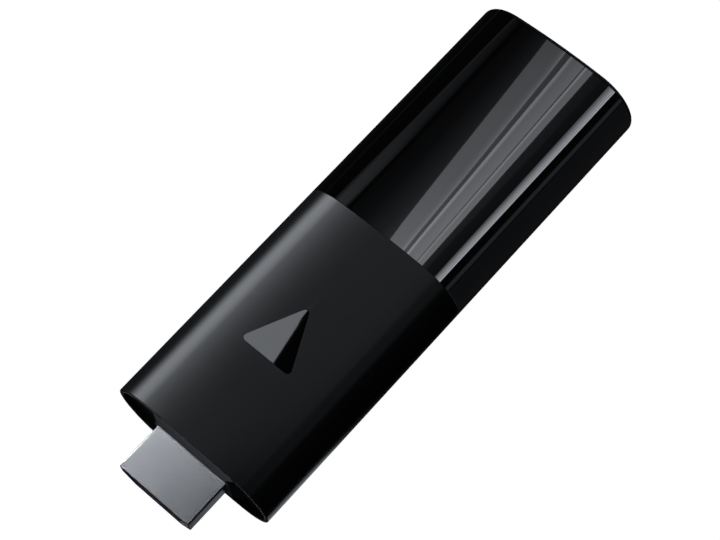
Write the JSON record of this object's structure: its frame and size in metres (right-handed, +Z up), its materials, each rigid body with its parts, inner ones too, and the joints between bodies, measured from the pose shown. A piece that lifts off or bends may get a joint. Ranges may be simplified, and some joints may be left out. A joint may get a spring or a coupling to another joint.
{
  "type": "streaming media player",
  "caption": "Oval black stick with a satin half and a polished half, a flush play badge, an HDMI plug at one end and a power inlet in its side.",
  "frame": {"origin": "on the surface that the stick lies on, under the middle of its length and width", "axes": "+Y from the plug to the closed end of the cap, +Z up through the face with the badge, +X to the right seen from the plug"},
  "size_m": [0.0296, 0.0924, 0.015],
  "materials": {
    "satin_casing": "fine satin black, lightly textured",
    "polished_casing": "mirror-polished black",
    "end_plate": "satin dark grey",
    "badge_gloss": "mirror-polished dark inlay",
    "adhesive_film": "thin clear film",
    "plated_steel": "satin nickel plate",
    "black_moulding": "moulded black",
    "contact_plating": "gold-plated strips",
    "conductive_foam": "foam wrapped in conductive cloth",
    "tray_plastic": "moulded dark grey",
    "board_laminate": "green solder mask",
    "screw_steel": "bright steel",
    "chip_resin": "black epoxy",
    "ferrite": "dark ferrite",
    "can_metal": "tinned sheet",
    "antenna_metal": "nickel silver sheet",
    "ceramic_parts": "tan ceramic with tinned ends",
    "heat_pad": "soft grey-blue pad",
    "spreader_aluminium": "plain sheet",
    "light_resin": "pale resin",
    "clear_plastic": "clear moulded pin"
  },
  "bodies": {
    "root": {"front_sleeve": "satin_casing", "gloss_cap": "polished_casing", "end_bezel": "end_plate", "badge": "badge_gloss", "badge_adhesive": "adhesive_film", "plug_shell": "plated_steel", "inlet_shell": "plated_steel", "plug_insulator": "black_moulding", "inlet_tongue": "black_moulding", "plug_contacts_upper": "contact_plating", "plug_contacts_lower": "contact_plating", "inlet_contacts": "contact_plating", "plug_gasket": "conductive_foam", "board_tray": "tray_plastic", "main_board": "board_laminate", "board_screws": "screw_steel", "processor": "chip_resin", "memory_chip": "chip_resin", "flash_chip": "chip_resin", "power_controller": "chip_resin", "resistors": "chip_resin", "surge_arrays": "chip_resin", "power_inductors": "ferrite", "wireless_module": "can_metal", "crystals": "can_metal", "upper_fence": "can_metal", "upper_lid": "can_metal", "lower_fence": "can_metal", "lower_lid": "can_metal", "wifi_antenna": "antenna_metal", "bluetooth_antenna": "antenna_metal", "capacitors": "ceramic_parts", "processor_pad": "heat_pad", "upper_pad": "heat_pad", "flash_pad": "heat_pad", "lower_pad": "heat_pad", "upper_spreader": "spreader_aluminium", "lower_spreader": "spreader_aluminium", "status_light": "light_resin", "light_pipe": "clear_plastic"}
  },
  "joints": []
}
